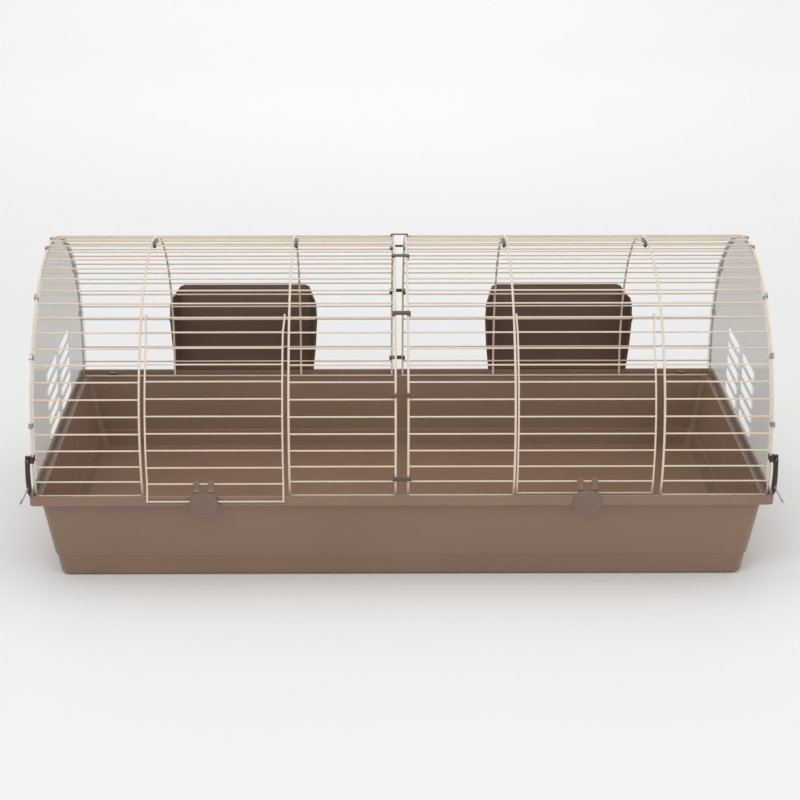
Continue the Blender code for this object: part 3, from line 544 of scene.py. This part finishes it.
def make_tabs():
    """Half-round tabs that reach over the ledge from the bead."""
    bm = bmesh.new()
    top = RIM_Z - TAB_DROP
    for tab_x, side in ((INNER_TAB_X, -1), (OUTER_TAB_X, -1), (OUTER_TAB_X, 1)):
        for sx in (-1, 1):
            edge = MID_Y + side * (HALF_W - BEAD_WIDTH)
            levels = []
            for shrink, z in ((0.6 * MM, top - TAB_THICK), (0.0, top - TAB_THICK + 0.6 * MM),
                              (0.0, top - 0.6 * MM), (0.6 * MM, top)):
                r = TAB_RADIUS - shrink
                loop = [(sx * tab_x + r * math.cos(i * math.pi / 20),
                         edge - side * r * math.sin(i * math.pi / 20)) for i in range(21)]
                loop += [(sx * tab_x - r, edge + side * 1 * MM),
                         (sx * tab_x + r, edge + side * 1 * MM)]
                levels.append([bm.verts.new((x, y, z)) for x, y in loop])
            for low, high in zip(levels, levels[1:]):
                ring_wall(bm, low, high)
            bm.faces.new(levels[0])
            bm.faces.new(levels[-1])
    obj = to_object("tray_tabs", bm, 40)
    return dress(obj, "tray", "tray", "tray_plastic")


# ---- wire top ------------------------------------------------------------------------------
ROW_OFFSET = -0.35 * MM            # wire middles inside the arch's own surface
ARC_OFFSET = -0.3 * MM
ROW_PAST = ARC_R - 0.9 * MM        # long wires run this far past an arc's middle


def arc_points(x, start, end, offset):
    count = max(6, int(abs(end - start) / (7 * MM)))
    points = []
    for i in range(count + 1):
        (y, z), _ = arch(start + (end - start) * i / count, offset)
        points.append((x, y, z))
    return points


def make_panel(label, side_x, front):
    """One quarter of the wire top: four arcs and the long wires between them."""
    bm = bmesh.new()
    sign = 1 if front else -1
    for x in (SEAM_HALF, DOORWAY_IN, DOORWAY_OUT, END_X):
        top = row(0) - ROW_WIRE / 2 if front else -(row(0) - ROW_WIRE / 2 - PLAY)
        points = arc_points(side_x * x, sign * top, sign * (ARCH_END + ROW_WIRE / 2 - ARC_R * 0.4),
                            ARC_OFFSET)
        tube(bm, points, ARC_R, 12)
    for index in range(ROWS):
        spans = [(SEAM_HALF, END_X)]
        if front and index > HINGE_ROW:
            spans = [(SEAM_HALF, DOORWAY_IN), (DOORWAY_OUT, END_X)]
        (y, z), _ = arch(sign * row(index), ROW_OFFSET)
        for low, high in spans:
            tube(bm, [(side_x * (low - ROW_PAST), y, z), (side_x * (high + ROW_PAST), y, z)],
                 ROW_R, 10)
    where = "front" if front else "back"
    obj = to_object("wires_%s_%s" % (where, label), bm, 50)
    return dress(obj, "wire", "wire_top", "coated_wire", "wire_%s_%s" % (where, label))


# ---- doors ---------------------------------------------------------------------------------
HINGE, HINGE_NORMAL = arch(row(HINGE_ROW))
HINGE_DOWN = (HINGE_NORMAL[1], -HINGE_NORMAL[0])
if HINGE_DOWN[1] > 0:
    HINGE_DOWN = (-HINGE_DOWN[0], -HINGE_DOWN[1])
HOOK_R = math.hypot(MESH_HALF, ROW_WIRE / 2) + 0.6 * MM + DOOR_THICK / 2


def swing(point, degrees):
    """Turn a (y, z) point about the doors' hinge wire."""
    turn = math.radians(degrees)
    c, s = math.cos(turn), math.sin(turn)
    y, z = point[0] - HINGE[0], point[1] - HINGE[1]
    return (HINGE[0] + y * c + z * s, HINGE[1] - y * s + z * c)


def door_row(index, sag):
    """Distance of a door wire from the ridge; sag lowers the latched wire, less above it."""
    return row(index) + sag * max(0, index - LATCH_ROW + 2) / 2


def door_line(tilt, sag, hem):
    """Hook stations, then the rows of one door edge, as (y, z)."""
    hook = []
    for degrees in range(205, -1, -15):
        turn = math.radians(degrees)
        n = [math.cos(turn) * HINGE_NORMAL[k] - math.sin(turn) * HINGE_DOWN[k] for k in (0, 1)]
        hook.append((HINGE[0] + HOOK_R * n[0], HINGE[1] + HOOK_R * n[1]))
    rows = [arch(door_row(i, sag) - (DOOR_LIFT if i == ROWS - 1 else 0.0), 0.0)[0]
            for i in range(HINGE_ROW + 1, ROWS)]
    hook = [swing(p, tilt) for p in hook]
    rows = [swing(p, tilt) for p in rows]
    if hem:
        rows[-1] = hem
    return hook, rows


def curve_through(points, steps=5):
    """Catmull-Rom through the points."""
    out = []
    for i in range(len(points) - 1):
        p0 = Vector(points[max(i - 1, 0)])
        p1, p2 = Vector(points[i]), Vector(points[i + 1])
        p3 = Vector(points[min(i + 2, len(points) - 1)])
        for k in range(steps):
            t = k / steps
            out.append(0.5 * ((2 * p1) + (p2 - p0) * t + (2 * p0 - 5 * p1 + 4 * p2 - p3) * t * t
                              + (3 * p1 - p0 - 3 * p2 + p3) * t ** 3))
    out.append(Vector(points[-1]))
    return out


def make_door(label, side_x, tilt, sag, hem):
    """Two hooked edge wires and the rows between them."""
    bm = bmesh.new()
    middle = side_x * (DOORWAY_IN + DOORWAY_OUT) / 2 + DOOR_SHIFT[label]
    half = (DOORWAY_OUT - DOORWAY_IN) / 2 - DOOR_PLAY
    hook, rows = door_line(tilt, sag, hem)
    line = [Vector((0, y, z)) for y, z in hook]
    line += curve_through([(0, y, z) for y, z in [hook[-1]] + rows], 5)[1:]
    for side in (-1, 1):
        # the edge wires splay a little toward their hooks, short of the arc beside them
        room = DOOR_PLAY - side * DOOR_SHIFT[label] - DOOR_EDGE_R - ARC_R - DOOR_CLEAR
        widest = min(DOOR_SPLAY, room)
        points = []
        for i, p in enumerate(line):
            splay = widest * max(0.0, 1 - max(0, i - len(hook)) / 4)
            points.append(p + Vector((middle + side * (half + splay), 0, 0)))
        tube(bm, points, DOOR_EDGE_R, 12)
    for y, z in rows:
        tube(bm, [(middle - half - DOOR_EDGE_R + ROW_BURY, y, z),
                  (middle + half + DOOR_EDGE_R - ROW_BURY, y, z)], DOOR_ROW_R, 10)
    obj = to_object("door_wires_" + label, bm, 50)
    return dress(obj, "wire", "door_" + label, "coated_wire", "door_" + label)


HEM_OUT = 2.2 * MM
HEM_DROP = 6.5 * MM
HEM_LEFT = (MID_Y - (HALF_W + DOOR_THICK / 2 + HEM_OUT), RIM_Z - HEM_DROP)


def make_latch(label, tilt, sag, plane_y):
    """Door latch: a disc with a dropped lower lip and two ears that wrap round a door wire."""
    centre = swing(arch(door_row(LATCH_ROW, sag))[0], tilt)
    radius = math.hypot(DOOR_THICK, DOOR_ROW) / 2 + 0.6 * MM + LATCH_THICK / 2
    disc_z = RIM_Z - LATCH_DROP
    middle = LATCH_X[label]
    half = LATCH_THICK / 2
    bm = bmesh.new()
    line = []
    for degrees in range(215, -1, -12):
        turn = math.radians(degrees)
        line.append(Vector((centre[0] - radius * math.cos(turn),
                            centre[1] + radius * math.sin(turn))))
    hooked = len(line)
    outside = centre[0] - radius
    bend = curve_through([(0, outside, centre[1]),
                          (0, outside * 0.6 + plane_y * 0.4, centre[1] - 7 * MM),
                          (0, plane_y + 0.6 * MM, RIM_Z + 7 * MM),
                          (0, plane_y, RIM_Z + 3 * MM)], 5)
    line += [Vector((p[1], p[2])) for p in bend[1:]]
    start_z = line[-1][1]
    bottom = disc_z - LATCH_RADIUS
    for k in range(1, 27):
        line.append(Vector((plane_y, start_z + (bottom - start_z) * math.sin(k / 26 * math.pi / 2))))
    plate = next(i for i, p in enumerate(line) if i > hooked and p[1] < RIM_Z + 8.5 * MM)

    def normal_at(i):
        if i < hooked:
            away = line[i] - Vector(centre)
            return away.normalized()
        along = (line[min(i + 1, len(line) - 1)] - line[i - 1]).normalized()
        out = Vector((along[1], -along[0]))
        return out if out[0] < 0 else -out

    def width_at(i):
        z = line[i][1]
        round_half = math.sqrt(max(LATCH_RADIUS ** 2 - (z - disc_z) ** 2, (0.5 * MM) ** 2))
        if z < disc_z:
            return round_half
        return max(round_half, EAR_OUT + 2 * MM * smooth_step(min(1.0, max(0.0, (i - plate) / 6))))

    def band(first, last, low_at, high_at):
        sections = []
        for i in range(first, last + 1):
            n = normal_at(i)
            p = line[i]
            x0, x1 = low_at(i), high_at(i)
            soft = min(0.7 * MM, (x1 - x0) * 0.2)
            shape = [(x0 + soft, half), (x1 - soft, half), (x1, half - soft),
                     (x1, -half + soft), (x1 - soft, -half), (x0 + soft, -half),
                     (x0, -half + soft), (x0, half - soft)]
            sections.append([bm.verts.new((middle + x, p[0] + o * n[0], p[1] + o * n[1]))
                             for x, o in shape])
        for a, b in zip(sections, sections[1:]):
            ring_wall(bm, a, b)
        bm.faces.new(sections[0])
        bm.faces.new(sections[-1])

    band(0, plate, lambda i: -EAR_OUT, lambda i: -EAR_IN)
    band(0, plate, lambda i: EAR_IN, lambda i: EAR_OUT)
    band(plate - 1, len(line) - 1, lambda i: -width_at(i), width_at)
    obj = to_object("latch_disc_" + label, bm, 38)
    return dress(obj, "latch", "door_latch_" + label, "latch_plastic", "door_latch_" + label)


# ---- clear end panels -----------------------------------------------------------------------
def make_end_panel(label, side_x):
    """Clear sheet with a flange all round and two columns of vent slots."""
    outside = -(MESH_HALF + PLAY)
    foot_z = LEDGE_Z + PLAY
    reach = distance_at(foot_z + 2 * MM)
    count = 60
    outline = [arch(reach * i / count, outside)[0] for i in range(-count, count + 1)]
    inline = [arch(reach * i / count, outside - FLANGE_THICK)[0]
              for i in range(-count, count + 1)]
    corner = arch(distance_at(foot_z), outside - PLAY)[0][0]
    far = 2 * MID_Y - corner
    outline = [(far, foot_z)] + outline + [(corner, foot_z)]
    foot_in = foot_z + FLANGE_THICK
    inline = [(far - FLANGE_THICK, foot_in)] + inline + [(corner + FLANGE_THICK, foot_in)]
    x_in = side_x * (END_X - PANEL_SET)
    x_face = side_x * (END_X - PANEL_SET + PANEL_THICK)
    x_out = side_x * (END_X - PANEL_SET + FLANGE_WIDTH)
    bm = bmesh.new()

    def loop(points, x):
        return [bm.verts.new((x, y, z)) for y, z in points]

    out_near, out_far = loop(outline, x_in), loop(outline, x_out)
    in_far, in_face = loop(inline, x_out), loop(inline, x_face)
    ring_wall(bm, out_near, out_far)
    ring_wall(bm, in_face, in_far)
    ring_wall(bm, out_far, in_far)
    near_loops, face_loops = [out_near], [in_face]
    radius = SLOT_HEIGHT / 2
    for middle in SLOT_COLUMNS:
        for index in range(SLOTS):
            z = RIM_Z + SLOT_LOW + index * SLOT_PITCH
            straight = SLOT_LENGTH / 2 - radius
            slot = []
            for sign, start in ((1, -math.pi / 2), (-1, math.pi / 2)):
                for i in range(17):
                    turn = start + math.pi * i / 16
                    slot.append((MID_Y + middle + sign * straight + radius * math.cos(turn),
                                 z + radius * math.sin(turn)))
            near, face = loop(slot, x_in), loop(slot, x_face)
            ring_wall(bm, near, face)
            near_loops.append(near)
            face_loops.append(face)
    fill(bm, near_loops)
    fill(bm, face_loops)
    obj = to_object("end_window_" + label, bm, 30)
    return dress(obj, "clear", "wire_top", "clear_panel", "end_panel_" + label)


# ---- end latches ---------------------------------------------------------------------------
BRACKET_Y, BRACKET_Z = arch(BRACKET_ROW * PITCH)[0]
BAIL_OUT = PIN_OUT + 0.3 * MM


def make_lever(label, side_x):
    """Bowed lever with a rounded back, a slot for the bracket's nose and a flicked tip."""
    low_z = RIM_Z + LEVER_END
    steps = 18
    spine = []
    for i in range(steps + 1):
        t = i / steps
        out = PIN_OUT + math.sin(t * math.pi) * LEVER_BOW
        spine.append((out, BRACKET_Z + (low_z - BRACKET_Z) * t))
    bm = bmesh.new()
    slot_end = 4

    def half_thick(t):
        return CHEEK_RADIUS + (LEVER_SLIM - CHEEK_RADIUS) * min(1.0, t * 4)

    def bar(v0, v1, first, last, cap_first):
        sections = []
        soft = min(1.1 * MM, (v1 - v0) * 0.3)
        stations = []
        if cap_first:
            for degrees in (80, 60, 35):
                turn = math.radians(degrees)
                stations.append((spine[0][0], BRACKET_Z + CHEEK_RADIUS * math.sin(turn),
                                 CHEEK_RADIUS * math.cos(turn)))
        for i in range(first, last + 1):
            thick = half_thick(i / steps)
            if i >= steps - 1:
                thick *= 0.8 if i == steps - 1 else 0.45
            stations.append((spine[i][0], spine[i][1], thick))
        for out, z, thick in stations:
            r = min(soft, thick * 0.6)
            shape = [(thick, v0 + r), (thick, v1 - r), (thick - r, v1), (r - thick, v1),
                     (-thick, v1 - r), (-thick, v0 + r), (r - thick, v0), (thick - r, v0)]
            sections.append([bm.verts.new((side_x * (END_X + out + u), BRACKET_Y - v, z))
                             for u, v in shape])
        for a, b in zip(sections, sections[1:]):
            ring_wall(bm, a, b)
        bm.faces.new(sections[0])
        bm.faces.new(sections[-1])

    gap = 3.0 * MM
    bar(-LEVER_HALF, -gap, 0, slot_end, True)
    bar(gap, LEVER_HALF, 0, slot_end, True)
    bar(-LEVER_HALF, LEVER_HALF, slot_end, steps, False)
    obj = to_object("lever_" + label, bm, 42)
    return dress(obj, "lever", "latch_lever_" + label, "lever_plastic", "latch_lever_" + label)


def make_bail(label, side_x):
    """Wire loop through the lever with a hooked end that hangs outside the rim."""
    size = math.hypot(BAIL_REACH, BAIL_DROP)
    d = (BAIL_REACH / size, -BAIL_DROP / size)
    leg = LEVER_HALF + 1.5 * MM
    bend = 2.4 * MM
    loop = []
    for along, across, start in ((bend, -leg + bend, 270), (bend, leg - bend, 180),
                                 (size - bend, leg - bend, 90), (size - bend, -leg + bend, 0)):
        for i in range(7):
            turn = math.radians(start - i * 15)
            loop.append((along + bend * math.cos(turn), across + bend * math.sin(turn)))
    world = []
    for along, across in loop:
        lift = 1.6 * MM * max(0.0, (along - size * 0.86) / (size * 0.14)) ** 2
        world.append((side_x * (END_X + BAIL_OUT + d[0] * along + lift),
                      BRACKET_Y - across, RIM_Z + BAIL_HIGH + d[1] * along + lift * 0.5))
    bm = bmesh.new()
    tube(bm, world, BAIL_R, 10, closed=True)
    obj = to_object("bail_" + label, bm, 50)
    return dress(obj, "steel", "latch_bail_" + label, "clip_steel", "latch_bail_" + label)


# ---- put it together ----------------------------------------------------------------------
make_tray()
make_tabs()
for side, label in ((-1, "left"), (1, "right")):
    make_panel(label, side, True)
    make_panel(label, side, False)
make_door("left", -1, LEFT_TILT, LEFT_SAG, HEM_LEFT)
make_door("right", 1, 0.0, 0.0, None)
make_latch("left", LEFT_TILT, LEFT_SAG, HEM_LEFT[0] - DOOR_THICK / 2 - PLAY - LATCH_THICK / 2)
make_latch("right", 0.0, 0.0, MID_Y - (HALF_W + PLAY + LATCH_THICK / 2))
for side, label in ((-1, "left"), (1, "right")):
    make_end_panel(label, side)
    make_bail(label, side)
    for where in ("front", "back"):
        for index in range(1, 5):
            soften("end_clip_%s_%s_%d" % (label, where, index), 0.35 * MM, "steel",
                   "wire_top", "clip_steel")
    for where in ("in", "out"):
        soften("ridge_strap_%s_%s" % (label, where), 0.3 * MM, "brown", "wire_top",
               "clip_brown")
    soften("latch_bracket_" + label, 0.4 * MM, "lever", "wire_top", "lever_plastic")
    soften("latch_pin_" + label, 0.2 * MM, "steel", "wire_top", "clip_steel")
    make_lever(label, side)
    soften("hay_rack_" + label, 0.7 * MM, "rack", "hay_rack_" + label, "rack_plastic", 3)
for where in ("front", "back"):
    for index in range(1, 5):
        soften("joiner_%s_%d" % (where, index), 0.45 * MM, "brown", "wire_top", "clip_brown")


# ---- stage, light, camera -------------------------------------------------------------------
def backdrop():
    """Pale floor that curves up far behind."""
    bm = bmesh.new()
    profile = [(-6.0, 0.0), (4.0, 0.0)]
    profile += [(4.0 + 2.0 * math.sin(a), 2.0 - 2.0 * math.cos(a))
                for a in [math.pi / 2 * i / 16 for i in range(1, 17)]]
    profile += [(6.0, 8.0)]
    strips = [[bm.verts.new((x, y, z)) for y, z in profile] for x in (-9.0, 9.0)]
    for k in range(len(profile) - 1):
        bm.faces.new([strips[0][k], strips[1][k], strips[1][k + 1], strips[0][k + 1]])
    obj = to_object("backdrop", bm, 60)
    mat, tree, shader = node_material("paper")
    _, colour = tone(tree, (0.9, 0.9, 0.9), 0.01, 0.6)
    tree.links.new(colour, shader.inputs["Base Color"])
    shader.inputs["Roughness"].default_value = 0.85
    obj.data.materials.append(mat)
    return obj


def area_light(name, place, target, size, power, colour=(1, 1, 1)):
    data = bpy.data.lights.new(name, "AREA")
    data.shape = "RECTANGLE"
    data.size, data.size_y = size
    data.energy = power
    data.color = colour
    obj = bpy.data.objects.new(name, data)
    obj.location = place
    obj.rotation_euler = (Vector(target) - Vector(place)).to_track_quat("-Z", "Y").to_euler()
    bpy.context.scene.collection.objects.link(obj)


backdrop()
area_light("key", (-1.6, -2.6, 3.2), (0, 0, 0.2), (2.6, 2.0), 36)
area_light("fill", (2.6, -1.8, 2.2), (0, 0, 0.2), (2.4, 2.0), 16)
area_light("top", (0.0, 0.6, 3.4), (0, 0, 0.2), (3.2, 2.4), 26)
area_light("wall", (0.0, 2.6, 3.2), (0, 5.6, 1.6), (5.0, 1.2), 60)
world = bpy.data.worlds.new("studio")
world.use_nodes = True
world.node_tree.nodes["Background"].inputs["Color"].default_value = (1, 1, 1, 1)
world.node_tree.nodes["Background"].inputs["Strength"].default_value = 0.62
bpy.context.scene.world = world
bpy.context.scene.view_settings.view_transform = "Standard"

LENS_PER_WIDTH = 2.42852          # focal length over frame width
CAMERA_AT = (-0.0494, -3.1304, 1.3933)
CAMERA_PITCH = 21.0856
CAMERA_YAW = -0.3235
CAMERA_SHIFT = (0.0240, 0.0036)
camera_data = bpy.data.cameras.new("camera")
camera_data.sensor_width = 36.0
camera_data.lens = 36.0 * LENS_PER_WIDTH
camera_data.shift_x, camera_data.shift_y = CAMERA_SHIFT
camera_data.clip_end = 60.0
camera = bpy.data.objects.new("camera", camera_data)
camera.location = CAMERA_AT
camera.rotation_euler = (math.radians(90 - CAMERA_PITCH), 0.0, math.radians(CAMERA_YAW))
bpy.context.scene.collection.objects.link(camera)
bpy.context.scene.camera = camera
